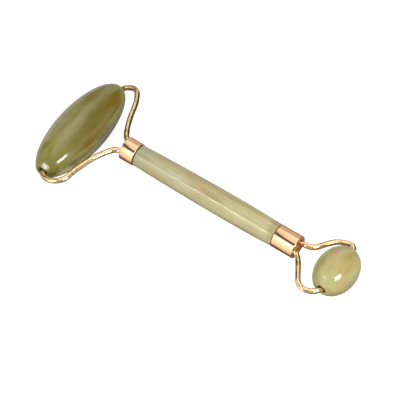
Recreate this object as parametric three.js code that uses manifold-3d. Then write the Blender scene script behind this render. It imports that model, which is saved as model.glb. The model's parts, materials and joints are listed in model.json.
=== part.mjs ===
// Jade face roller: a turned jade handle with a wire fork and a jade roller at each end.
// Millimetres. It lies on its two rollers on the plane z = 0: the handle runs along X, with the
// large roller at -X, and both rollers turn about axes along Y. The origin is under the middle.
import * as THREE from 'three';
import { mergeVertices } from 'three/addons/utils/BufferGeometryUtils.js';
import Module from 'manifold-3d';

const wasm = await Module();
wasm.setup();

// ---------------------------------------------------------------- driving dimensions

const GAP = 0.3; // clearance between pieces that touch

const HANDLE = {
  length: 66,
  // radius at each fraction of the length, from the large roller's end
  swell: [[0, 4.5], [0.25, 4.92], [0.6, 5.2], [0.84, 5.1], [1, 4.78]],
  spigotRadius: 3.4,
  boreRadius: 1.4,
  boreDepth: 10.5,
  edge: 0.3,
  sides: 32,
};

const FERRULE = {
  radius: 4.8,
  wall: 1.1,
  floor: 2.6,
  holeRadius: 1.45, // for an arm's root
  edge: 0.35,
  sides: 32,
};

const WIRE = {
  radius: 1.15,
  rootOffset: 2.65, // each arm's root, either side of the handle's axis
  sides: 10,
  steps: 44,
};

const PIN = { headRadius: 3.3, headThickness: 0.8, shankRadius: 1.1, shankLength: 9.5, sides: 24 };

const BORE = { radius: 1.95, depth: 9, mouthEdge: 0.2 }; // the hole in each end of a roller

const BUSH = { inner: 1.4, outer: 1.7, length: 6, recess: 1.5, sides: 24 };

const TIP_DEPTH = 6; // how far a wire's tip reaches into its roller

// A fork's arm leaves its ferrule along a straight lead, swings out in an S, and turns in to the
// roller through an arc of sweep degrees, which ends arcAside from the handle's axis. The S leaves
// the lead at exitAngle and holds the direction of each of its ends for about its reach.
const LARGE = {
  end: -1,
  ferruleLength: 6.5,
  axisAhead: 21.7, // roller's axis beyond the ferrule's face
  drop: 5.3, // roller's axis below the handle's axis
  roller: { radius: 10.2, poleDistance: 27.2, halfLength: 25.9, sides: 40, rows: 20 },
  arms: {
    far: {
      side: 1, lead: 0.4, exitAngle: 36, exitReach: 8.6, flankReach: 7.6,
      sweep: 140, arcRadius: 4.8, arcAside: 23.8,
    },
    near: {
      side: -1, lead: 0.8, exitAngle: -5, exitReach: 3.6, flankReach: 8.9,
      sweep: 176, arcRadius: 5.8, arcAside: 23.5,
    },
  },
};

const SMALL = {
  end: 1,
  ferruleLength: 10,
  axisAhead: 17.9,
  drop: 0.6,
  roller: { radius: 8.5, poleDistance: 11.45, halfLength: 11, sides: 40, rows: 14 },
  arms: {
    far: {
      side: 1, lead: 1.3, exitAngle: -3, exitReach: 6.2, flankReach: 8.2,
      sweep: 99, arcRadius: 2.3, arcAside: 11.4,
    },
    near: {
      side: -1, lead: 0.3, exitAngle: 24, exitReach: 6.3, flankReach: 7.1,
      sweep: 73, arcRadius: 5.8, arcAside: 9.2,
    },
  },
};

// ---------------------------------------------------------------- placing

const faceDistance = (fork) => HANDLE.length / 2 + fork.ferruleLength;
const axleDistance = (fork) => faceDistance(fork) + fork.axisAhead;

// The handle leans until both rollers touch z = 0.
const span = axleDistance(LARGE) + axleDistance(SMALL);
const fall = new THREE.Vector2(span, LARGE.drop - SMALL.drop);
const lean =
  Math.asin((LARGE.roller.radius - SMALL.roller.radius) / fall.length()) + fall.angle();

const leaned = (x, z) =>
  new THREE.Vector3(x, 0, z).applyAxisAngle(new THREE.Vector3(0, 1, 0), lean);

const largeAxle = leaned(-axleDistance(LARGE), -LARGE.drop);
const smallAxle = leaned(axleDistance(SMALL), -SMALL.drop);
const left = largeAxle.x - LARGE.roller.radius;
const right = smallAxle.x + SMALL.roller.radius;
const handleCentre = new THREE.Vector3(-(left + right) / 2, 0, LARGE.roller.radius - largeAxle.z);

// ---------------------------------------------------------------- materials

const material = (color, roughness, metalness) =>
  new THREE.MeshStandardMaterial({ color, roughness, metalness });

const MATERIALS = {
  handleJade: material(0xbfba88, 0.2, 0),
  largeJade: material(0x8f8749, 0.18, 0),
  smallJade: material(0xc3ba80, 0.18, 0),
  roseGold: material(0xe0a987, 0.22, 1),
  brass: material(0xb59a5c, 0.4, 1),
  bushPlastic: material(0x2e261e, 0.55, 0),
};

// ---------------------------------------------------------------- shapes

/** Turns an outline of [radius, height] about +Y. Its flats, not its corners, lie on the radius. */
function turned(outline, sides) {
  const corner = 1 / Math.cos(Math.PI / sides);
  const points = outline.map(([radius, height]) => new THREE.Vector2(radius * corner, height));
  return new THREE.LatheGeometry(points, sides, Math.PI / sides);
}

/** The same, about +X. */
const turnedAlongX = (outline, sides) => turned(outline, sides).rotateZ(-Math.PI / 2);

/** Reverses an outline end for end, so that what lay towards +Y lies towards -Y. */
const flipped = (outline) => outline.map(([radius, height]) => [radius, -height]).reverse();

function toSolid(geometry) {
  const bare = new THREE.BufferGeometry();
  bare.setAttribute('position', geometry.getAttribute('position'));
  bare.setIndex(geometry.index);
  const merged = mergeVertices(bare, 1e-4);
  return new wasm.Manifold(new wasm.Mesh({
    numProp: 3,
    vertProperties: new Float32Array(merged.getAttribute('position').array),
    triVerts: new Uint32Array(merged.index.array),
  }));
}

function toGeometry(manifold) {
  const mesh = manifold.getMesh();
  const geometry = new THREE.BufferGeometry();
  geometry.setAttribute('position', new THREE.BufferAttribute(mesh.vertProperties, 3));
  geometry.setIndex(new THREE.BufferAttribute(mesh.triVerts, 1));
  geometry.computeVertexNormals();
  return geometry;
}

/** A jade roller about Y: a spheroid cut flat at its ends, with a blind hole in each. */
function rollerStone({ radius, poleDistance, halfLength, sides, rows }) {
  const end = -halfLength;
  const outline = [
    [0, end + BORE.depth],
    [BORE.radius, end + BORE.depth],
    [BORE.radius, end + BORE.mouthEdge],
    [BORE.radius + BORE.mouthEdge, end],
  ];
  const limit = Math.asin(halfLength / poleDistance);
  for (let row = 0; row < rows / 2; row += 1) {
    const angle = limit * (2 * row / rows - 1);
    outline.push([radius * Math.cos(angle), poleDistance * Math.sin(angle)]);
  }
  const belly = [[radius, 0]];
  return turned([...outline, ...belly, ...flipped(outline)], sides);
}

/** The handle about X: a swelled rod, with a spigot and a blind hole at each end. */
function handleRod() {
  const half = HANDLE.length / 2 - GAP / 2;
  const curve = new THREE.SplineCurve(
    HANDLE.swell.map(([along, radius]) => new THREE.Vector2(radius, (2 * along - 1) * half)));
  const body = curve.getPoints(20).map(({ x, y }) => [x, y]);
  const trimmed = ([radius, height]) => [
    [radius - HANDLE.edge, height],
    [radius, height - Math.sign(height) * HANDLE.edge],
  ];
  const spigot = (fork) => {
    const tip = -(half + spigotLength(fork));
    return [
      [0, tip + HANDLE.boreDepth],
      [HANDLE.boreRadius, tip + HANDLE.boreDepth],
      [HANDLE.boreRadius, tip],
      [HANDLE.spigotRadius, tip],
      [HANDLE.spigotRadius, -half],
    ];
  };
  return turnedAlongX([
    ...spigot(LARGE),
    ...trimmed(body[0]),
    ...body.slice(1, -1),
    ...trimmed(body[body.length - 1]).reverse(),
    ...flipped(spigot(SMALL)),
  ], HANDLE.sides);
}

/** How far the handle reaches into a ferrule: up to the head of the pin on the ferrule's floor. */
function spigotLength(fork) {
  return fork.ferruleLength - FERRULE.floor - PIN.headThickness - 2 * GAP;
}

/** A ferrule about X, its face at x = 0 and its mouth towards -X, with a hole for each arm. */
function ferruleCup(fork) {
  const { radius, wall, floor, edge, holeRadius, sides } = FERRULE;
  const mouth = -fork.ferruleLength + GAP / 2;
  const cup = turnedAlongX([
    [0, -floor],
    [radius - wall, -floor],
    [radius - wall, mouth],
    [radius - edge, mouth],
    [radius, mouth + edge],
    [radius, -edge],
    [radius - edge, 0],
    [0, 0],
  ], sides);
  const drill = turnedAlongX([[0, -floor - GAP], [holeRadius, -floor - GAP], [holeRadius, 1], [0, 1]], 20);
  let solid = toSolid(cup);
  for (const side of [-1, 1]) {
    solid = solid.subtract(toSolid(drill.clone().translate(0, side * WIRE.rootOffset, 0)));
  }
  return toGeometry(solid);
}

/** A headed pin about X: its head on the floor of a ferrule whose face is at x = 0. */
function anchorPin() {
  const seat = -FERRULE.floor - GAP;
  const under = seat - PIN.headThickness;
  return turnedAlongX([
    [0, under - PIN.shankLength],
    [PIN.shankRadius, under - PIN.shankLength],
    [PIN.shankRadius, under],
    [PIN.headRadius, under],
    [PIN.headRadius, seat],
    [0, seat],
  ], PIN.sides);
}

/** A wire's centre line: a plan in (ahead, aside), bent down to drop by the roller's axis. */
class BentWire extends THREE.Curve {
  constructor(plan, fork, side) {
    super();
    Object.assign(this, { plan, fork, side });
  }

  getPoint(t, target = new THREE.Vector3()) {
    const { x: ahead, y: aside } = this.plan.getPointAt(t);
    const share = Math.max(ahead, 0) / this.fork.axisAhead;
    return target.set(ahead, this.side * aside, -this.fork.drop * share ** 2);
  }
}

/** One arm of a fork, leaving a ferrule whose face is at x = 0 towards +X. */
function forkArm(fork, arm) {
  const sweep = THREE.MathUtils.degToRad(arm.sweep);
  const exit = THREE.MathUtils.degToRad(arm.exitAngle);
  const arcAhead = fork.axisAhead - arm.arcRadius;
  const start = new THREE.Vector2(Math.cos(sweep), Math.sin(sweep))
    .multiplyScalar(arm.arcRadius)
    .add(new THREE.Vector2(arcAhead, arm.arcAside));
  const plan = new THREE.Path();
  plan.moveTo(-FERRULE.floor + GAP, WIRE.rootOffset);
  plan.lineTo(arm.lead, WIRE.rootOffset);
  plan.bezierCurveTo(
    arm.lead + arm.exitReach * Math.cos(exit), WIRE.rootOffset + arm.exitReach * Math.sin(exit),
    start.x - arm.flankReach * Math.sin(sweep), start.y + arm.flankReach * Math.cos(sweep),
    start.x, start.y);
  plan.absarc(arcAhead, arm.arcAside, arm.arcRadius, sweep, 0, true);
  plan.lineTo(fork.axisAhead, fork.roller.halfLength - TIP_DEPTH);
  return wireAlong(new BentWire(plan, fork, arm.side));
}

/** A round wire along a curve. */
function wireAlong(curve) {
  const corner = WIRE.radius / Math.cos(Math.PI / WIRE.sides);
  const section = new THREE.Shape();
  for (let side = 0; side < WIRE.sides; side += 1) {
    const angle = (2 * Math.PI * (side + 0.5)) / WIRE.sides;
    const point = [corner * Math.cos(angle), corner * Math.sin(angle)];
    if (side === 0) section.moveTo(...point);
    else section.lineTo(...point);
  }
  return new THREE.ExtrudeGeometry(section, { steps: WIRE.steps, extrudePath: curve });
}

/** A plain sleeve about Y. */
function bushSleeve() {
  const { inner, outer, length, sides } = BUSH;
  const half = length / 2;
  return turned([[inner, -half], [outer, -half], [outer, half], [inner, half], [inner, -half]], sides);
}

// ---------------------------------------------------------------- the object

function piece(name, geometry, look) {
  const mesh = new THREE.Mesh(geometry, look);
  mesh.name = name;
  return mesh;
}

/** What a ferrule holds, turned to face its own end of the handle. */
function forkAssembly(name, fork) {
  const group = new THREE.Group();
  group.position.x = fork.end * faceDistance(fork);
  const facing = new THREE.Matrix4().makeRotationZ(fork.end === 1 ? 0 : Math.PI);
  const add = (node, geometry, look) => group.add(piece(node, geometry.applyMatrix4(facing), look));
  add(`${name}_ferrule`, ferruleCup(fork), MATERIALS.roseGold);
  add(`${name}_anchor_pin`, anchorPin(), MATERIALS.brass);
  for (const [which, arm] of Object.entries(fork.arms)) {
    const turnedArm = { ...arm, side: arm.side * fork.end };
    add(`${name}_arm_${which}`, forkArm(fork, turnedArm), MATERIALS.roseGold);
  }
  return group;
}

/** A roller and its two bushes, about an axle along Y. */
function rollerAssembly(name, fork, axle, look) {
  const group = new THREE.Group();
  group.position.set(handleCentre.x + axle.x, 0, fork.roller.radius);
  group.add(piece(`${name}_roller_stone`, rollerStone(fork.roller), look));
  const bushAside = fork.roller.halfLength - BUSH.recess - BUSH.length / 2;
  for (const [which, arm] of Object.entries(fork.arms)) {
    const bush = piece(`${name}_bush_${which}`, bushSleeve(), MATERIALS.bushPlastic);
    bush.position.y = arm.side * bushAside;
    group.add(bush);
  }
  return group;
}

const frame = new THREE.Group();
frame.position.copy(handleCentre);
frame.rotation.y = lean;
frame.add(piece('handle', handleRod(), MATERIALS.handleJade));
frame.add(forkAssembly('large', LARGE));
frame.add(forkAssembly('small', SMALL));

const faceRoller = new THREE.Group();
faceRoller.add(frame);
faceRoller.add(rollerAssembly('large', LARGE, largeAxle, MATERIALS.largeJade));
faceRoller.add(rollerAssembly('small', SMALL, smallAxle, MATERIALS.smallJade));

export default faceRoller;
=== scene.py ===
"""The looks of a double-ended jade face roller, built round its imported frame.

Shapes are worked out in millimetres, each in its own local frame with X along the piece's axis, and
become metres when a piece is made. The handle's line and the rollers' axles come from the frame.
"""

import json
import math

import bmesh
import bpy
import numpy as np
from mathutils import Matrix, Quaternion, Vector


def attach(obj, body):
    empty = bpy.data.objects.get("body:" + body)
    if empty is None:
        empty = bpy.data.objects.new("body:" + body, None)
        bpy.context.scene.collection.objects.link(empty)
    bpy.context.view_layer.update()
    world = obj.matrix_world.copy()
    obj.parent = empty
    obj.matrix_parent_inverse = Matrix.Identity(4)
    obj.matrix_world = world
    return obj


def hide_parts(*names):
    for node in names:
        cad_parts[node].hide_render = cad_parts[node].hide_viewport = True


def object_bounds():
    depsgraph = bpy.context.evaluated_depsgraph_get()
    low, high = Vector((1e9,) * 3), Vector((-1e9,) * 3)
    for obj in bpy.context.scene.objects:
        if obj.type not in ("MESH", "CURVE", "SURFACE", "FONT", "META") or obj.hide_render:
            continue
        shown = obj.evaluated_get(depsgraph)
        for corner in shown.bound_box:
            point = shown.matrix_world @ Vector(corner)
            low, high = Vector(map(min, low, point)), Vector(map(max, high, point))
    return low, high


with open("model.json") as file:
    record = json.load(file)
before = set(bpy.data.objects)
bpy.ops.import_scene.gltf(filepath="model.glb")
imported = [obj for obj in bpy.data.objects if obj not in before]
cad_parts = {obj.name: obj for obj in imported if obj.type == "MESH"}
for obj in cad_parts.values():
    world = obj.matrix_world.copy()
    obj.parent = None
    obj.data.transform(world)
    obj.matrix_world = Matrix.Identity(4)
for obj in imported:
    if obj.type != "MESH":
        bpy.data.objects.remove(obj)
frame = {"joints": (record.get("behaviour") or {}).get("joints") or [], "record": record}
cad_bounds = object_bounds()

MM = 0.001
SEED = 7

# ---------------------------------------------------------------- driving dimensions, millimetres

HANDLE = {
    "length": 66.0,
    # radius at each fraction of the length, from the large roller's end
    "swell": [(0.0, 4.5), (0.25, 4.92), (0.6, 5.2), (0.84, 5.1), (1.0, 4.78)],
    "spigot_radius": 3.4,
    "bore_radius": 1.4,
    "bore_depth": 10.5,
    "edge": 0.3,
    "joint_gap": 0.3,
}
FERRULE = {"radius": 4.8, "wall": 1.1, "floor": 2.6, "hole_radius": 1.45, "edge": 0.38, "lip": 0.26}
WIRE = {
    "radius": 1.13, "root_offset": 2.65, "root_depth": 2.3, "tip_depth": 6.0,
    "sides": 24, "spacing": 0.16,
}
# how unevenly a wire is bent by hand: (wavelength, depth) of its waves, which fade in after the
# root and out before the tip
HAND = {
    "waves": [(11.0, 0.05), (5.3, 0.016)], "thickness_wave": (7.1, 0.012),
    "straight_root": 3.5, "straight_tip": 7.5, "fade": 3.0,
}
PIN = {
    "head_radius": 3.3, "head_thickness": 0.8, "shank_radius": 1.1, "shank_length": 9.5,
    "grooves": 4, "groove_pitch": 1.8,
}
BORE = {"radius": 1.95, "depth": 9.0, "drill_point": 0.9, "mouth_edge": 0.2, "flat_edge": 0.22}
BUSH = {"inner": 1.4, "outer": 1.7, "length": 6.0, "recess": 1.5, "edge": 0.12}
BRAZE = {"foot": 1.85, "height": 0.5, "inset": 0.4, "gap": 0.02}

# A fork starts at the end face of its ferrule, which is "ferrule" long, at the handle's "end" -1 or 1.
# Its roller's axle is "ahead" of the face and "drop" below the handle's line. The roller is a spheroid
# with a "radius" and a "pole", cut flat at "half" its length.
# An arm, on the "side" towards +Y or -Y, leaves the face straight for "lead". It then bends from
# "exit_angle" into an arc that turns it through "sweep" degrees into the roller, centred "arc_aside"
# from the handle's line. Each reach is how far the bend holds its direction: at its start, and at
# the arc.
FORKS = {
    "large": {
        "end": -1, "ferrule": 6.5, "ahead": 21.7, "drop": 5.3,
        "radius": 10.2, "pole": 27.2, "half": 25.9,
        "arms": {
            "far": {
                "side": 1, "lead": 0.4, "exit_angle": 36, "exit_reach": 8.6,
                "flank_reach": 7.6, "sweep": 140, "arc_radius": 4.8, "arc_aside": 23.8,
            },
            "near": {
                "side": -1, "lead": 0.8, "exit_angle": -5, "exit_reach": 3.6,
                "flank_reach": 8.9, "sweep": 176, "arc_radius": 5.8, "arc_aside": 23.5,
            },
        },
    },
    "small": {
        "end": 1, "ferrule": 10.0, "ahead": 17.9, "drop": 0.6,
        "radius": 8.5, "pole": 11.45, "half": 11.0,
        "arms": {
            "far": {
                "side": 1, "lead": 1.3, "exit_angle": -3, "exit_reach": 6.2,
                "flank_reach": 8.2, "sweep": 99, "arc_radius": 2.3, "arc_aside": 11.4,
            },
            "near": {
                "side": -1, "lead": 0.3, "exit_angle": 24, "exit_reach": 6.3,
                "flank_reach": 7.1, "sweep": 73, "arc_radius": 5.8, "arc_aside": 9.2,
            },
        },
    },
}

# ---------------------------------------------------------------- places, from the frame

grip = frame["record"]["mounts"][0]
axles = {joint["child"]: Vector(joint["pos_m"]) for joint in frame["joints"]}

ALONG = Vector(grip["axis"]).normalized()
ASIDE = Vector((0, 1, 0))
HANDLE_PLACE = Matrix.Translation(grip["pos_m"]) @ Matrix(
    (ALONG, ASIDE, ALONG.cross(ASIDE))
).transposed().to_4x4()


def ferrule_place(fork):
    """The middle of a ferrule's end face, with X pointing out of it."""
    distance = HANDLE["length"] / 2 + fork["ferrule"]
    shift = Matrix.Translation((fork["end"] * distance * MM, 0, 0))
    facing = Matrix.Rotation(0 if fork["end"] == 1 else math.pi, 4, "Z")
    return HANDLE_PLACE @ shift @ facing


def axle_place(name):
    """The middle of a roller, with X along its axle."""
    return Matrix.Translation(axles[f"{name}_roller"]) @ Matrix.Rotation(math.pi / 2, 4, "Z")


# ---------------------------------------------------------------- mesh code


def make_piece(name, bm, place, body, material, replaces=(), sharp=40):
    """Turns a bmesh in millimetres into a smooth-shaded piece that rides on a body."""
    bmesh.ops.recalc_face_normals(bm, faces=bm.faces)
    bmesh.ops.scale(bm, vec=(MM, MM, MM), verts=bm.verts)
    mesh = bpy.data.meshes.new(name)
    bm.to_mesh(mesh)
    bm.free()
    mesh.shade_smooth()
    mesh.set_sharp_from_angle(angle=math.radians(sharp))
    mesh.materials.append(material)
    piece = bpy.data.objects.new(name, mesh)
    bpy.context.scene.collection.objects.link(piece)
    piece.matrix_world = place
    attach(piece, body)
    if replaces:
        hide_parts(*replaces)
    return piece


def eased(corners, steps=5):
    """An outline of (along, radius) points from (along, radius, ease) corners, each rounded by ease."""
    outline = []
    for index, (along, radius, ease) in enumerate(corners):
        here = np.array([along, radius])
        if not ease:
            outline.append(tuple(here))
            continue
        before = np.array(corners[index - 1][:2]) - here
        after = np.array(corners[(index + 1) % len(corners)][:2]) - here
        start = here + before / np.linalg.norm(before) * ease
        stop = here + after / np.linalg.norm(after) * ease
        for t in np.linspace(0, 1, steps):
            outline.append(tuple((1 - t) ** 2 * start + 2 * t * (1 - t) * here + t**2 * stop))
    return outline


def join_rings(bm, first, second):
    """Faces between two rings, either of which may be a single point."""
    count = max(len(first), len(second))
    for i in range(count):
        j = (i + 1) % count
        corners = [first[i % len(first)], first[j % len(first)]]
        corners += [second[j % len(second)], second[i % len(second)]]
        bm.faces.new(dict.fromkeys(corners))


def turned(outline, sides=128):
    """A surface of revolution about X. The outline's ends lie on the axis, or meet each other."""
    bm = bmesh.new()
    angles = [2 * math.pi * side / sides for side in range(sides)]
    rings = []
    for along, radius in outline:
        if radius < 1e-6:
            rings.append([bm.verts.new((along, 0, 0))])
        else:
            ring = [(along, radius * math.cos(a), radius * math.sin(a)) for a in angles]
            rings.append([bm.verts.new(point) for point in ring])
    closes = len(rings[0]) > 1
    for first, second in zip(rings, rings[1:] + rings[:1] if closes else rings[1:]):
        join_rings(bm, first, second)
    return bm


def mirrored(outline):
    """An outline reversed end for end."""
    return [(-along, *rest) for along, *rest in reversed(outline)]


def swept(points, radii, sides):
    """A round bar of varying radius along a line of points."""
    bm = bmesh.new()
    tangents = np.gradient(points, axis=0)
    tangents /= np.linalg.norm(tangents, axis=1)[:, None]
    normal = np.cross(tangents[0], (0, 0, 1))
    angles = 2 * math.pi * np.arange(sides) / sides
    rings = [[bm.verts.new(points[0])]]
    for point, tangent, radius in zip(points, tangents, radii):
        normal = normal - tangent * (normal @ tangent)
        normal /= np.linalg.norm(normal)
        other = np.cross(tangent, normal)
        ring = [point + radius * (math.cos(a) * normal + math.sin(a) * other) for a in angles]
        rings.append([bm.verts.new(corner) for corner in ring])
    # the end's middle stands a hair proud of its rim
    rings.append([bm.verts.new(points[-1] + tangents[-1] * 1e-3)])
    for first, second in zip(rings, rings[1:]):
        join_rings(bm, first, second)
    return bm


def cut(bm, tool):
    """Subtracts one bmesh from another, exactly."""
    objects = []
    for name, source in (("cut_body", bm), ("cut_tool", tool)):
        bmesh.ops.recalc_face_normals(source, faces=source.faces)
        mesh = bpy.data.meshes.new(name)
        source.to_mesh(mesh)
        source.free()
        objects.append(bpy.data.objects.new(name, mesh))
        bpy.context.scene.collection.objects.link(objects[-1])
    body, drill = objects
    modifier = body.modifiers.new("cut", "BOOLEAN")
    modifier.operation = "DIFFERENCE"
    modifier.solver = "EXACT"
    modifier.object = drill
    result = bmesh.new()
    result.from_object(body, bpy.context.evaluated_depsgraph_get())
    for leftover in objects:
        bpy.data.objects.remove(leftover)
    return result


# ---------------------------------------------------------------- the pieces' shapes


def handle_shape():
    """A swelled rod, with a turned-down spigot and a blind bore at each end."""
    half = (HANDLE["length"] - HANDLE["joint_gap"]) / 2
    knots = HANDLE["swell"]
    barrel = []
    for along in np.linspace(0, 1, 61):
        edge = HANDLE["edge"] if along in (0, 1) else 0
        barrel.append((float((2 * along - 1) * half), catmull_rom(knots, along), edge))

    def spigot(fork):
        seat = FERRULE["floor"] + PIN["head_thickness"] + 2 * HANDLE["joint_gap"]
        tip = -(half + fork["ferrule"] - seat)
        return [
            (tip + HANDLE["bore_depth"], 0, 0),
            (tip + HANDLE["bore_depth"], HANDLE["bore_radius"], 0),
            (tip, HANDLE["bore_radius"], 0.2),
            (tip, HANDLE["spigot_radius"], 0.3),
            (-half, HANDLE["spigot_radius"], 0),
        ]

    return turned(eased(spigot(FORKS["large"]) + barrel + mirrored(spigot(FORKS["small"]))))


def catmull_rom(knots, along):
    """The height at a fraction along, on a smooth curve through (fraction, height) knots."""
    points = np.array([knots[0], *knots, knots[-1]])
    spans = len(knots) - 1
    for span in range(spans):
        p0, p1, p2, p3 = points[span : span + 4]
        if along <= p2[0] or span == spans - 1:
            break
    t = np.linspace(0, 1, 200)[:, None]
    curve = 0.5 * (
        2 * p1 + (p2 - p0) * t + (2 * p0 - 5 * p1 + 4 * p2 - p3) * t**2
        + (3 * p1 - p0 - 3 * p2 + p3) * t**3
    )
    return float(np.interp(along, curve[:, 0], curve[:, 1]))


def ferrule_shape(fork):
    """A deep-drawn cup with an eased rim and lip, and two holes through its end wall."""
    mouth = -fork["ferrule"] + HANDLE["joint_gap"] / 2
    bore = FERRULE["radius"] - FERRULE["wall"]
    cup = turned(eased([
        (-FERRULE["floor"], 0, 0),
        (-FERRULE["floor"], bore, 0.3),
        (mouth, bore, 0.2),
        (mouth, FERRULE["radius"], FERRULE["lip"]),
        (0, FERRULE["radius"], FERRULE["edge"]),
        (0, 0, 0),
    ]), sides=96)
    drills = bmesh.new()
    for side in (-1, 1):
        drill = turned([
            (-FERRULE["floor"] - 1, 0), (-FERRULE["floor"] - 1, FERRULE["hole_radius"]),
            (1, FERRULE["hole_radius"]), (1, 0),
        ], sides=32)
        bmesh.ops.translate(drill, vec=(0, side * WIRE["root_offset"], 0), verts=drill.verts)
        scratch = bpy.data.meshes.new("drill")
        drill.to_mesh(scratch)
        drills.from_mesh(scratch)
        bpy.data.meshes.remove(scratch)
        drill.free()
    return cut(cup, drills)


def braze_shape():
    """The little fillet of braze where a wire leaves its ferrule's face."""
    inner = WIRE["radius"] + BRAZE["gap"]
    hole = FERRULE["hole_radius"] - BRAZE["gap"]
    foot = BRAZE["foot"]
    inset = -FERRULE["floor"] + BRAZE["inset"]
    outline = [(inset, inner), (inset, hole), (BRAZE["gap"] / 2, hole)]
    for t in np.linspace(0, 1, 9):
        rise = BRAZE["height"] * t**2
        outline.append((BRAZE["gap"] + rise, foot + (inner - foot) * (1 - (1 - t) ** 1.6)))
    return turned(outline, sides=40)


def wire_line(fork, arm, side):
    """A bent arm's centre line: straight out, an S outwards, and round an arc into the roller."""
    sweep, leave = math.radians(arm["sweep"]), math.radians(arm["exit_angle"])
    centre = np.array([fork["ahead"] - arm["arc_radius"], arm["arc_aside"]])
    root = np.array([-WIRE["root_depth"], WIRE["root_offset"]])
    lead = np.array([arm["lead"], WIRE["root_offset"]])
    flank = centre + arm["arc_radius"] * np.array([math.cos(sweep), math.sin(sweep)])
    out = lead + arm["exit_reach"] * np.array([math.cos(leave), math.sin(leave)])
    back = flank + arm["flank_reach"] * np.array([-math.sin(sweep), math.cos(sweep)])
    tip = np.array([fork["ahead"], fork["half"] - WIRE["tip_depth"]])
    t = np.linspace(0, 1, 120)[:, None]
    turn = np.linspace(sweep, 0, 80)[1:, None]
    plan = np.concatenate([
        root + (lead - root) * t[:-1],
        (1 - t) ** 3 * lead + 3 * t * (1 - t) ** 2 * out + 3 * t**2 * (1 - t) * back + t**3 * flank,
        centre + arm["arc_radius"] * np.concatenate([np.cos(turn), np.sin(turn)], axis=1),
        [tip],
    ])
    sag = -fork["drop"] * (np.maximum(plan[:, 0], 0) / fork["ahead"]) ** 2
    return evenly_spaced(np.stack([plan[:, 0], side * plan[:, 1], sag], axis=1), WIRE["spacing"])


def evenly_spaced(points, step):
    """The same line, with its points a step apart."""
    travel = np.concatenate([[0], np.cumsum(np.linalg.norm(np.diff(points, axis=0), axis=1))])
    stops = np.linspace(0, travel[-1], int(travel[-1] / step))
    return np.stack([np.interp(stops, travel, points[:, k]) for k in range(3)], axis=1)


def wire_shape(fork, arm, side, rng):
    """A hand-bent wire: a little unevenness between its root and the roller, and a rounded tip."""
    line = wire_line(fork, arm, side)
    length = WIRE["spacing"] * len(line)
    travel = np.linspace(0, length, len(line))
    free = np.clip((travel - HAND["straight_root"]) / HAND["fade"], 0, 1)
    free *= np.clip((length - HAND["straight_tip"] - travel) / HAND["fade"], 0, 1)
    # sideways the line only ever leans inwards, so that the fork keeps its overall width
    lean = np.array([0, side, 0])
    for axis in range(3):
        for wavelength, depth in HAND["waves"]:
            wave = np.sin(2 * math.pi * travel / wavelength + rng.uniform(0, 2 * math.pi))
            line[:, axis] += free * depth * (wave - lean[axis])
    radii = np.full(len(line), WIRE["radius"])
    wavelength, depth = HAND["thickness_wave"]
    wave = np.sin(2 * math.pi * travel / wavelength + rng.uniform(0, 2 * math.pi))
    radii *= 1 + depth * free * wave
    to_tip = np.clip((length - travel) / (0.7 * WIRE["radius"]), 0, 1)
    radii *= 0.35 + 0.65 * np.sqrt(1 - (1 - to_tip) ** 2)
    return swept(line, radii, WIRE["sides"])


def stone_shape(fork):
    """A roller about its axle: a spheroid with a small flat and a blind hole at each end."""
    limit = math.asin(fork["half"] / fork["pole"])
    hole = -fork["half"] + BORE["depth"]
    corners = [
        (hole + BORE["drill_point"], 0, 0),
        (hole, BORE["radius"], 0),
        (-fork["half"], BORE["radius"], BORE["mouth_edge"]),
    ]
    for angle in np.linspace(-limit, 0, 45):
        edge = BORE["flat_edge"] if angle == -limit else 0
        corners.append((fork["pole"] * math.sin(angle), fork["radius"] * math.cos(angle), edge))
    return turned(eased(corners + mirrored(corners[:-1])), sides=192)


def pin_shape():
    """A headed pin, its head on the ferrule's floor and glue grooves round its shank."""
    seat = -FERRULE["floor"] - HANDLE["joint_gap"]
    under = seat - PIN["head_thickness"]
    corners = [
        (under - PIN["shank_length"], 0, 0),
        (under - PIN["shank_length"], PIN["shank_radius"], 0.25),
    ]
    for groove in range(PIN["grooves"]):
        middle = under - PIN["shank_length"] + PIN["groove_pitch"] * (1 + groove)
        for offset, depth in ((-0.35, 0), (-0.15, 0.18), (0.15, 0.18), (0.35, 0)):
            corners.append((middle + offset, PIN["shank_radius"] - depth, 0))
    corners += [
        (under, PIN["shank_radius"], 0),
        (under, PIN["head_radius"], 0.2),
        (seat, PIN["head_radius"], 0.2),
        (seat, 0, 0),
    ]
    return turned(eased(corners), sides=48)


def bush_shape():
    """A plain moulded sleeve with eased mouths."""
    half, edge = BUSH["length"] / 2, BUSH["edge"]
    return turned(eased([
        (-half, BUSH["inner"], edge), (-half, BUSH["outer"], edge),
        (half, BUSH["outer"], edge), (half, BUSH["inner"], edge),
    ]), sides=48)


# ---------------------------------------------------------------- materials


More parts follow.
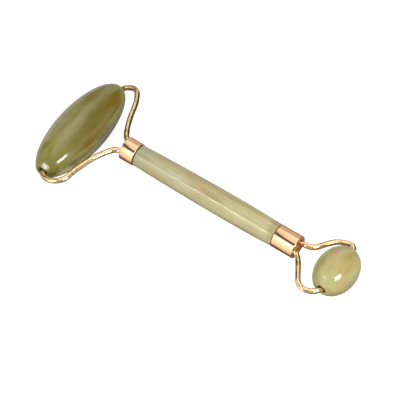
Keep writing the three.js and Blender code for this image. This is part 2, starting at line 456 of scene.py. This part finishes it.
class NodeTree:
    """A node tree, with short calls to add nodes and maths to it."""

    def __init__(self, tree):
        self.tree = tree
        self.tree.nodes.clear()

    def node(self, kind, **settings):
        node = self.tree.nodes.new(kind)
        for name, value in settings.items():
            setattr(node, name, value)
        return node

    def put(self, socket, value):
        """Links a node's output to a socket, or sets the socket's value."""
        if isinstance(value, bpy.types.NodeSocket):
            self.tree.links.new(value, socket)
        else:
            socket.default_value = value

    def math(self, operation, first, second=0.0, third=0.0):
        node = self.node("ShaderNodeMath", operation=operation)
        for socket, value in zip(node.inputs, (first, second, third)):
            self.put(socket, value)
        return node.outputs[0]

    def ramp(self, value, low, high, floor=0.0, ceiling=1.0):
        """A smooth step of value from low to high."""
        node = self.node("ShaderNodeMapRange", interpolation_type="SMOOTHSTEP")
        self.put(node.inputs["Value"], value)
        node.inputs["From Min"].default_value = low
        node.inputs["From Max"].default_value = high
        node.inputs["To Min"].default_value = floor
        node.inputs["To Max"].default_value = ceiling
        return node.outputs["Result"]

    def curve(self, value, stops):
        """Straight lines through (value, result) stops, with values from -1 to 1 and results to 2."""
        node = self.node("ShaderNodeValToRGB")
        elements = node.color_ramp.elements
        elements.remove(elements[-1])
        for number, (place, result) in enumerate(stops):
            position = (place + 1) / 2
            element = elements.new(position) if number else elements[0]
            element.position = position
            element.color = (result / 2, result / 2, result / 2, 1)
        self.put(node.inputs[0], self.math("MULTIPLY_ADD", value, 0.5, 0.5))
        return self.math("MULTIPLY", node.outputs[0], 2.0)

    def aim(self, xyz, azimuth):
        """The level cosine of the angle between a direction and an azimuth, in degrees."""
        way = toward(azimuth, 0)
        along = self.math("MULTIPLY_ADD", xyz["X"], way.x, self.math("MULTIPLY", xyz["Y"], way.y))
        reach = self.math("MULTIPLY_ADD", xyz["X"], xyz["X"], self.math("MULTIPLY", xyz["Y"], xyz["Y"]))
        return self.math("DIVIDE", along, self.math("SQRT", reach))


class Surface(NodeTree):
    """A material on one Principled shader, with patterns measured in its object's millimetres."""

    def __init__(self, name):
        self.material = bpy.data.materials.new(name)
        self.material.use_nodes = True
        super().__init__(self.material.node_tree)
        self.shader = self.node("ShaderNodeBsdfPrincipled")
        output = self.node("ShaderNodeOutputMaterial")
        self.tree.links.new(self.shader.outputs["BSDF"], output.inputs["Surface"])
        self.place = self.node("ShaderNodeTexCoord").outputs["Object"]

    def scaled(self, scale, offset=(0, 0, 0)):
        """Object coordinates in millimetres, stretched by scale."""
        node = self.node("ShaderNodeMapping")
        self.put(node.inputs["Vector"], self.place)
        node.inputs["Location"].default_value = offset
        node.inputs["Scale"].default_value = [1 / MM * s for s in scale]
        return node.outputs["Vector"]

    def noise(self, scale, detail=4.0, roughness=0.5, distortion=0.0, offset=(0, 0, 0)):
        """Noise whose features are about 1 / scale millimetres along each axis."""
        node = self.node("ShaderNodeTexNoise")
        self.put(node.inputs["Vector"], self.scaled(scale, offset))
        node.inputs["Scale"].default_value = 1
        node.inputs["Detail"].default_value = detail
        node.inputs["Roughness"].default_value = roughness
        node.inputs["Distortion"].default_value = distortion
        return node.outputs["Fac"]

    def blob(self, centre, spread, wander=0.35):
        """1 at a place in millimetres, falling to 0 over a spread along each axis, with a soft edge."""
        node = self.node("ShaderNodeVectorMath", operation="LENGTH")
        offset = [-c / s for c, s in zip(centre, spread)]
        self.put(node.inputs[0], self.scaled([1 / s for s in spread], offset))
        cloud = self.noise([2.2 / s for s in spread], detail=3, offset=centre)
        drift = self.math("SUBTRACT", cloud, 0.5)
        ragged = self.math("MULTIPLY_ADD", drift, wander * 3, node.outputs["Value"])
        return self.ramp(ragged, 1.1, 0.3)

    def mix(self, factor, first, second, blend="MIX"):
        node = self.node("ShaderNodeMix", data_type="RGBA", blend_type=blend)
        self.put(node.inputs[0], factor)
        self.put(node.inputs[6], rgba(first))
        self.put(node.inputs[7], rgba(second))
        return node.outputs[2]

    def bump(self, height, strength, distance):
        node = self.node("ShaderNodeBump")
        node.inputs["Strength"].default_value = strength
        node.inputs["Distance"].default_value = distance * MM
        self.put(node.inputs["Height"], height)
        self.put(self.shader.inputs["Normal"], node.outputs["Normal"])


def rgba(value):
    """An (r, g, b) of 0 to 255, as seen on screen, as a linear colour; a socket stays as it is."""
    if isinstance(value, bpy.types.NodeSocket):
        return value
    linear = [((c / 255 + 0.055) / 1.055) ** 2.4 if c > 10 else c / 255 / 12.92 for c in value]
    return (*linear, 1.0)


def jade(name, look):
    """Polished jade: cloudy along the grain, with patches, some of them painted light, fine fibres and
    a little depth.
    """
    surface = Surface(name)
    clouds = surface.noise((0.05, 0.16, 0.16), detail=5, roughness=0.55, distortion=0.8)
    colour = surface.mix(surface.ramp(clouds, 0.36, 0.64), look["deep"], look["pale"])
    # patches of the stone's own colour, with the painted highlights, reflections and shade among them
    for tint, strength, centre, spread in look["patches"]:
        place = surface.blob(centre, spread)
        colour = surface.mix(surface.math("MULTIPLY", place, strength), colour, tint)
    streaks = surface.noise((0.035, 0.55, 0.55), detail=4, roughness=0.6, distortion=0.5)
    shade = surface.ramp(streaks, 0.3, 0.7, 1 - look["streak"], 1 + look["streak"])
    grains = surface.noise((0.9, 1.6, 1.6), detail=6, roughness=0.65)
    shade = surface.math("MULTIPLY", shade, surface.ramp(grains, 0.25, 0.75, 0.95, 1.05))
    lit = surface.node("ShaderNodeVectorMath", operation="SCALE")
    surface.put(lit.inputs[0], colour)
    surface.put(lit.inputs["Scale"], shade)
    surface.put(surface.shader.inputs["Base Color"], lit.outputs["Vector"])
    polish = surface.noise((0.25, 0.4, 0.4), detail=3, offset=(5, 3, 1))
    surface.put(
        surface.shader.inputs["Roughness"],
        surface.ramp(polish, 0.3, 0.7, look["roughness"], look["roughness"] + 0.06),
    )
    surface.shader.inputs["IOR"].default_value = 1.61
    surface.shader.inputs["Subsurface Weight"].default_value = look["depth"]
    surface.shader.inputs["Subsurface Radius"].default_value = (1.0, 1.0, 0.45)
    surface.shader.inputs["Subsurface Scale"].default_value = 2.2 * MM
    surface.bump(surface.noise(look["waves"], detail=2, offset=(1, 8, 2)), 0.25, look["relief"])
    return surface.material


def plated(name, look):
    """Polished plating: a slight drift in tint and polish, darker stains, and faint drawing lines."""
    surface = Surface(name)
    drift = surface.noise((0.12, 0.3, 0.3), detail=3)
    colour = surface.mix(surface.ramp(drift, 0.3, 0.75), look["face"], look["shadow"])
    spots = surface.noise([look["spots"]] * 3, detail=3, offset=(7, 1, 4))
    spots = surface.ramp(spots, 0.54, 0.66)
    spots = surface.math("MULTIPLY", spots, look["stain"])
    surface.put(surface.shader.inputs["Base Color"], surface.mix(spots, colour, look["stained"]))
    surface.shader.inputs["Metallic"].default_value = 1.0
    surface.shader.inputs["Specular Tint"].default_value = rgba(look["edge"])
    smudge = surface.noise((0.35, 0.5, 0.5), detail=4, offset=(2, 2, 9))
    surface.put(
        surface.shader.inputs["Roughness"],
        surface.ramp(smudge, 0.3, 0.75, look["roughness"], look["roughness"] + 0.06),
    )
    surface.bump(surface.noise(look["grain"], detail=4, roughness=0.6), 0.3, look["depth"])
    return surface.material


def moulded(name, light, dark):
    """Matt moulded plastic with a fine spark-eroded grain."""
    surface = Surface(name)
    grain = surface.noise((3, 3, 3), detail=3)
    surface.put(surface.shader.inputs["Base Color"], surface.mix(grain, light, dark))
    surface.put(surface.shader.inputs["Roughness"], surface.ramp(grain, 0.2, 0.8, 0.42, 0.6))
    surface.bump(grain, 0.4, 0.03)
    return surface.material


# Deep and pale drift into each other, and depth is how much light passes into the stone. Waves and
# relief are the unevenness of its polish. Each patch is a tint, how strongly it shows, and its centre
# and spread in local millimetres. Most patches are the stone's own colour; the ones marked below paint
# highlights, reflections and shade.
JADES = {
    "handle_jade": {
        "deep": (186, 175, 125), "pale": (198, 191, 143), "streak": 0.08, "roughness": 0.15,
        "depth": 0.3, "waves": (0.14, 0.4, 0.4), "relief": 0.4,
        "patches": [
            ((172, 174, 138), 0.8, (-31.5, -1.5, 3.8), (7, 7, 7)),
            ((188, 164, 112), 0.6, (-3, 0.8, 4.9), (20, 2.8, 2.8)),
            ((190, 172, 98), 0.6, (20, 1.2, 5.0), (10, 2.8, 2.8)),
            ((206, 176, 138), 0.6, (26.5, 0.2, 4.9), (3, 2.2, 2.2)),
            ((166, 156, 108), 0.8, (32.5, 0, 3), (4, 8, 8)),
            # painted highlight: a pale, broad patch on the line of the handle's highlight, towards the
            # large end
            ((194, 196, 154), 0.7, (-17, -2.6, 4.1), (12, 2.4, 2.4)),
            ((182, 160, 112), 0.6, (2, -2.2, 4.6), (9, 2.0, 2.0)),
            ((182, 174, 120), 0.6, (8, -4.6, 1.8), (22, 2.4, 3)),
            # painted highlight: two pale patches on the same line, nearer the middle
            ((206, 198, 172), 0.7, (-12, -2.4, 4.4), (6, 1.3, 1.3)),
            ((204, 180, 150), 0.5, (-2, -2.6, 4.3), (6, 1.0, 1.0)),
            ((186, 162, 114), 0.6, (12, -1.5, -4.8), (18, 4, 4)),
            ((164, 168, 126), 0.6, (-14, 2.5, -4.2), (12, 4, 4)),
        ],
    },
    "large_roller_jade": {
        "deep": (136, 127, 54), "pale": (149, 142, 72), "streak": 0.07, "roughness": 0.1,
        "depth": 0.25, "waves": (0.3, 0.45, 0.45), "relief": 0.06,
        "patches": [
            ((121, 108, 26), 0.9, (6, -6.0, 7.7), (20, 6, 6)),
            ((136, 106, 36), 0.7, (16, -5.3, 5.8), (8, 3.4, 3.4)),
            ((134, 106, 38), 0.75, (-4, -9.0, 4.4), (12, 3.4, 3.4)),
            # painted reflection: a pale greyish band along the top, the sheen of the bright overhead
            ((164, 150, 98), 0.55, (-10, -1.2, 9.6), (17, 2.6, 2.6)),
            ((146, 138, 64), 0.6, (-17, 3.7, 7.0), (12, 5, 5)),
            ((152, 144, 82), 0.75, (-18, -6.8, 3.6), (8, 4, 4)),
            ((146, 142, 84), 0.7, (18, 1.3, 7.5), (7, 4, 4)),
            ((192, 174, 98), 0.8, (-12, -9.6, 1.0), (13, 2.6, 3)),
            # painted light: a pale patch that lifts the shade on the near end's lower rim
            ((222, 210, 150), 0.8, (-20, -6.6, -0.8), (6.5, 2.6, 3.2)),
            # painted shade: a dark band low on the -Y side, along its rim
            ((80, 68, 28), 0.35, (8, -10.8, -1.6), (12, 3, 3)),
            # painted reflection: a pale greyish patch high on the +Y side
            ((184, 174, 128), 0.7, (-11, 4.8, 8.0), (10, 3.6, 3.4)),
            # painted highlight: a near-white spot on the near end, beside the hole
            ((244, 242, 220), 0.9, (-25.2, -1.0, 2.8), (1.6, 2.0, 1.5)),
            ((121, 108, 30), 0.8, (-9, 5.5, -7.6), (20, 6, 6)),
            ((130, 100, 50), 0.7, (7, 1.2, -9.6), (12, 3.4, 3.4)),
            ((154, 146, 96), 0.7, (-4, 9.4, -1.5), (17, 3, 3)),
        ],
    },
    "small_roller_jade": {
        "deep": (182, 168, 106), "pale": (194, 184, 128), "streak": 0.05, "roughness": 0.13,
        "depth": 0.3, "waves": (0.3, 0.45, 0.45), "relief": 0.06,
        "patches": [
            ((180, 158, 90), 0.7, (0.5, -5.0, 6.6), (7, 4.6, 4.6)),
            ((172, 160, 78), 0.7, (-7.4, 4.2, 4.4), (4.4, 3.2, 3.2)),
            ((180, 182, 122), 0.7, (-8.4, -1.4, 5.4), (4.4, 6, 6)),
            ((188, 166, 124), 0.6, (-5, -6.6, 3.4), (4.4, 2.8, 2.8)),
            ((204, 172, 124), 0.6, (2, 2.2, 7.9), (3, 2, 2)),
            ((158, 158, 108), 0.6, (0, -8.4, 0.8), (8, 2.4, 2)),
            ((178, 154, 84), 0.8, (-3, 4.6, -6.9), (7, 4, 4)),
            ((180, 182, 122), 0.7, (5, -2, -7.2), (6, 4, 4)),
        ],
    },
}
# Face and shadow drift into each other, and edge tints what shows at a grazing angle. Stains come at
# the scale that spots says, and grain and depth are the faint lines left by drawing or turning.
METALS = {
    "rose_gold": {
        "face": (248, 206, 164), "shadow": (243, 194, 146), "edge": (220, 160, 130),
        "stained": (196, 140, 98), "stain": 0.12, "spots": 0.5,
        "roughness": 0.09, "grain": (0.05, 5, 5), "depth": 0.004,
    },
    "wire_gold": {
        "face": (255, 234, 186), "shadow": (253, 216, 156), "edge": (196, 130, 78),
        "stained": (158, 96, 48), "stain": 0.5, "spots": 0.6,
        "roughness": 0.1, "grain": (0.4, 0.4, 0.4), "depth": 0.005,
    },
    "raw_brass": {
        "face": (214, 190, 132), "shadow": (196, 168, 108), "edge": (220, 200, 160),
        "stained": (150, 118, 70), "stain": 0.3, "spots": 0.5,
        "roughness": 0.3, "grain": (2, 2, 2), "depth": 0.02,
    },
}


# ---------------------------------------------------------------- the object


def build():
    rng = np.random.default_rng(SEED)
    jades = {slot: jade(slot, look) for slot, look in JADES.items()}
    rose_gold, wire_gold, raw_brass = [plated(name, look) for name, look in METALS.items()]
    # painted shade: the sleeves are a dark brown that stands in for the shade deep in the rollers'
    # holes
    bush_plastic = moulded("bush_plastic", (66, 56, 46), (50, 42, 34))

    make_piece(
        "jade_handle", handle_shape(), HANDLE_PLACE, "frame",
        jades["handle_jade"], ["handle"],
    )
    for name, fork in FORKS.items():
        face = ferrule_place(fork)
        axle = axle_place(name)
        make_piece(
            f"{name}_ferrule_cup", ferrule_shape(fork), face, "frame",
            rose_gold, [f"{name}_ferrule"],
        )
        make_piece(
            f"{name}_pin", pin_shape(), face, "frame",
            raw_brass, [f"{name}_anchor_pin"],
        )
        make_piece(
            f"{name}_stone", stone_shape(fork), axle, f"{name}_roller",
            jades[f"{name}_roller_jade"], [f"{name}_roller_stone"],
        )
        for which, arm in fork["arms"].items():
            side = arm["side"] * fork["end"]
            make_piece(
                f"{name}_wire_{which}", wire_shape(fork, arm, side, rng), face, "frame",
                wire_gold, [f"{name}_arm_{which}"],
            )
            root = face @ Matrix.Translation((0, side * WIRE["root_offset"] * MM, 0))
            make_piece(
                f"{name}_braze_{which}", braze_shape(), root, "frame", rose_gold
            )
            inset = fork["half"] - BUSH["recess"] - BUSH["length"] / 2
            seat = axle @ Matrix.Translation((arm["side"] * inset * MM, 0, 0))
            make_piece(
                f"{name}_sleeve_{which}", bush_shape(), seat, f"{name}_roller",
                bush_plastic, [f"{name}_bush_{which}"],
            )


# ---------------------------------------------------------------- studio

# Azimuths run from -Y towards +X, and all angles are in degrees.
ROOM = {"azimuth": -85, "lean": 0.36}
# Screens that darken or brighten part of the room, between two elevations. The first four line the
# wires' sides with dark, and the next two dim or brighten their tops. The last two lighten what the
# large stone's shaded side and the small ferrule's end face reflect.
SCREENS = [
    {"azimuth": 162, "half_width": 15, "heights": (-10, 28), "gain": 0.05},
    {"azimuth": -102, "half_width": 10, "heights": (2, 40), "gain": 0.05},
    {"azimuth": 72, "half_width": 15, "heights": (-14, 6), "gain": 0.15},
    {"azimuth": -138, "half_width": 6, "heights": (0, 30), "gain": 0.15},
    {"azimuth": 91, "half_width": 8, "heights": (46, 56), "gain": 0.4},
    {"azimuth": -156, "half_width": 16, "heights": (42, 58), "gain": 1.5},
    {"azimuth": 114, "half_width": 28, "heights": (-58, 14), "gain": 1.6},
    {"azimuth": 152, "half_width": 20, "heights": (-64, -46), "gain": 3.0},
]
# how softly a screen ends: in radians at its sides, and in the sine of the elevation above and below
SCREEN_EDGE = 0.1
PANEL = {"azimuth": -19, "half_width": 13, "soft_edge": 5, "radiance": 2.2}
# the dark gap between the panel and the bright ceiling
GAP = {"azimuth": -40, "depth": 0.94}
# distances and sizes in metres
SOFTBOXES = {
    "right_strip": {
        "azimuth": 71.5, "elevation": 31, "distance": 0.37,
        "size": (0.14, 0.085), "roll": 0, "radiance": 18,
    },
    "front_strip": {
        "azimuth": -16, "elevation": 38.5, "distance": 0.69,
        "size": (0.26, 0.05), "roll": -10, "radiance": 9,
    },
}
# the flat table's reach, the bend's radius and the backdrop's height
BACKDROP = {"flat": 3000, "bend": 2000, "height": 4000}
# the distance in metres, and the rest in millimetres; the aim is from the object's middle
CAMERA = {
    "azimuth": 34.71, "elevation": 51.25, "distance": 1.1924, "lens": 273.1, "sensor": 36,
    "aim_right": -1.66, "aim_up": -0.97,
}


def toward(azimuth, elevation):
    """The direction at an azimuth from -Y towards +X, and an elevation, in degrees."""
    a, e = math.radians(azimuth), math.radians(elevation)
    return Vector((math.sin(a) * math.cos(e), -math.cos(a) * math.cos(e), math.sin(e)))


def softbox(name, look):
    """A rectangular light that faces the object and shows only in what it lights."""
    light = bpy.data.lights.new(name, "AREA")
    light.shape = "RECTANGLE"
    light.size, light.size_y = look["size"]
    light.energy = look["radiance"] * math.pi * light.size * light.size_y
    lamp = bpy.data.objects.new(name, light)
    bpy.context.scene.collection.objects.link(lamp)
    away = toward(look["azimuth"], look["elevation"])
    roll = Quaternion((0, 0, 1), math.radians(look["roll"]))
    lamp.location = away * look["distance"]
    lamp.rotation_mode = "QUATERNION"
    lamp.rotation_quaternion = away.to_track_quat("Z", "Y") @ roll
    lamp.visible_camera = False


def studio_world():
    """A pale room, by direction: dim below, bright overhead, and one broad panel in front."""
    world = bpy.data.worlds.new("studio")
    world.use_nodes = True
    bpy.context.scene.world = world
    sky = NodeTree(world.node_tree)
    direction = sky.node("ShaderNodeSeparateXYZ")
    sky.put(direction.inputs[0], sky.node("ShaderNodeTexCoord").outputs["Generated"])
    height = direction.outputs["Z"]
    # brightness by the sine of the elevation, from straight down to straight up
    room = [
        (-1.0, 0.12), (-0.88, 0.15), (-0.75, 0.3), (-0.6, 0.56), (-0.4, 0.68), (0.0, 0.68),
        (0.28, 0.8), (0.5, 0.7), (0.68, 0.62), (0.82, 0.95), (0.88, 1.3), (1.0, 1.35),
    ]
    level = sky.curve(height, room)
    ahead = sky.aim(direction.outputs, PANEL["azimuth"])
    inner = math.radians(PANEL["half_width"])
    outer = inner + math.radians(PANEL["soft_edge"])
    beside = sky.ramp(ahead, math.cos(outer), math.cos(inner))
    front = sky.ramp(sky.aim(direction.outputs, GAP["azimuth"]), 0.5, 0.7)
    # the room is brightest behind and to the left, and darker opposite, up to well above the horizon
    lean = sky.ramp(sky.aim(direction.outputs, ROOM["azimuth"]), -1.0, 1.0, -ROOM["lean"], ROOM["lean"])
    lean = sky.math("MULTIPLY", lean, sky.ramp(height, 0.9, 0.7))
    level = sky.math("MULTIPLY", level, sky.math("ADD", lean, 1.0))
    for screen in SCREENS:
        aim = sky.aim(direction.outputs, screen["azimuth"])
        reach = math.radians(screen["half_width"])
        shade = sky.ramp(aim, math.cos(reach + SCREEN_EDGE), math.cos(reach))
        foot, top = (math.sin(math.radians(angle)) for angle in screen["heights"])
        shade = sky.math("MULTIPLY", shade, sky.ramp(height, foot - SCREEN_EDGE, foot))
        shade = sky.math("MULTIPLY", shade, sky.ramp(height, top + SCREEN_EDGE, top))
        level = sky.math("MULTIPLY", level, sky.math("MULTIPLY_ADD", shade, screen["gain"] - 1, 1.0))
    # the panel, its bright reflection in the table top, and the dark gap above it
    panel = sky.curve(height, [
        (-0.95, 0.1), (-0.85, 0.26), (-0.69, 0.42), (-0.53, 0.56), (-0.34, 0.64), (-0.15, 0.7),
        (0.1, 0.88), (0.3, 1.0), (0.66, 1.0), (0.79, 0.0),
    ])
    gap = sky.curve(height, [(0.77, 0.0), (0.83, 1.0), (0.91, 1.0), (0.955, 0.0)])
    lit = sky.math("MULTIPLY", sky.math("MULTIPLY", beside, panel), PANEL["radiance"])
    gap = sky.math("MULTIPLY", gap, sky.math("MULTIPLY", front, GAP["depth"]))
    shut = sky.math("SUBTRACT", 1.0, gap)
    total = sky.math("MAXIMUM", sky.math("MULTIPLY", level, shut), lit)
    background = sky.node("ShaderNodeBackground")
    sky.put(background.inputs["Strength"], total)
    output = sky.node("ShaderNodeOutputWorld")
    sky.put(output.inputs["Surface"], background.outputs[0])


def pale_floor():
    """A wide pale table top, swept up into a backdrop all round."""
    outline = [(0, 0)]
    for turn in np.linspace(0, math.pi / 2, 25):
        rise = BACKDROP["bend"] * (1 - math.cos(turn))
        outline.append((rise, BACKDROP["flat"] + BACKDROP["bend"] * math.sin(turn)))
    outline.append((BACKDROP["height"], BACKDROP["flat"] + BACKDROP["bend"]))
    bm = turned(outline)
    upright = Matrix.Rotation(-math.pi / 2, 4, "Y") @ Matrix.Scale(MM, 4)
    bmesh.ops.transform(bm, matrix=upright, verts=bm.verts)
    bmesh.ops.recalc_face_normals(bm, faces=bm.faces)
    mesh = bpy.data.meshes.new("table_top")
    bm.to_mesh(mesh)
    bm.free()
    mesh.shade_smooth()
    floor = bpy.data.objects.new("table_top", mesh)
    bpy.context.scene.collection.objects.link(floor)
    surface = Surface("table_white")
    cloud = surface.noise((0.02, 0.02, 0.02), detail=2)
    surface.put(
        surface.shader.inputs["Base Color"], surface.mix(cloud, (196, 196, 195), (200, 200, 200))
    )
    surface.shader.inputs["Roughness"].default_value = 0.7
    surface.shader.inputs["Specular IOR Level"].default_value = 0.2
    # it glows, so that it is nearly white and the object's shadow on it stays faint
    surface.shader.inputs["Emission Color"].default_value = (1, 1, 1, 1)
    surface.shader.inputs["Emission Strength"].default_value = 0.8
    mesh.materials.append(surface.material)
    # the world's lower half stands for the table top in reflections and bounced light
    floor.visible_diffuse = floor.visible_glossy = floor.visible_shadow = False


def camera():
    """A long lens, well back, so that it hardly foreshortens."""
    low, high = cad_bounds
    back = toward(CAMERA["azimuth"], CAMERA["elevation"])
    right = toward(CAMERA["azimuth"] + 90, 0)
    up = back.cross(right)
    aim = (low + high) / 2 + CAMERA["aim_right"] * MM * right + CAMERA["aim_up"] * MM * up
    data = bpy.data.cameras.new("camera")
    data.lens = CAMERA["lens"]
    data.sensor_width = CAMERA["sensor"]
    eye = bpy.data.objects.new("camera", data)
    bpy.context.scene.collection.objects.link(eye)
    eye.location = aim + CAMERA["distance"] * back
    eye.rotation_mode = "QUATERNION"
    eye.rotation_quaternion = back.to_track_quat("Z", "Y")
    bpy.context.scene.camera = eye


build()
studio_world()
pale_floor()
for name, look in SOFTBOXES.items():
    softbox(name, look)
camera()
bpy.context.scene.view_settings.view_transform = "Standard"
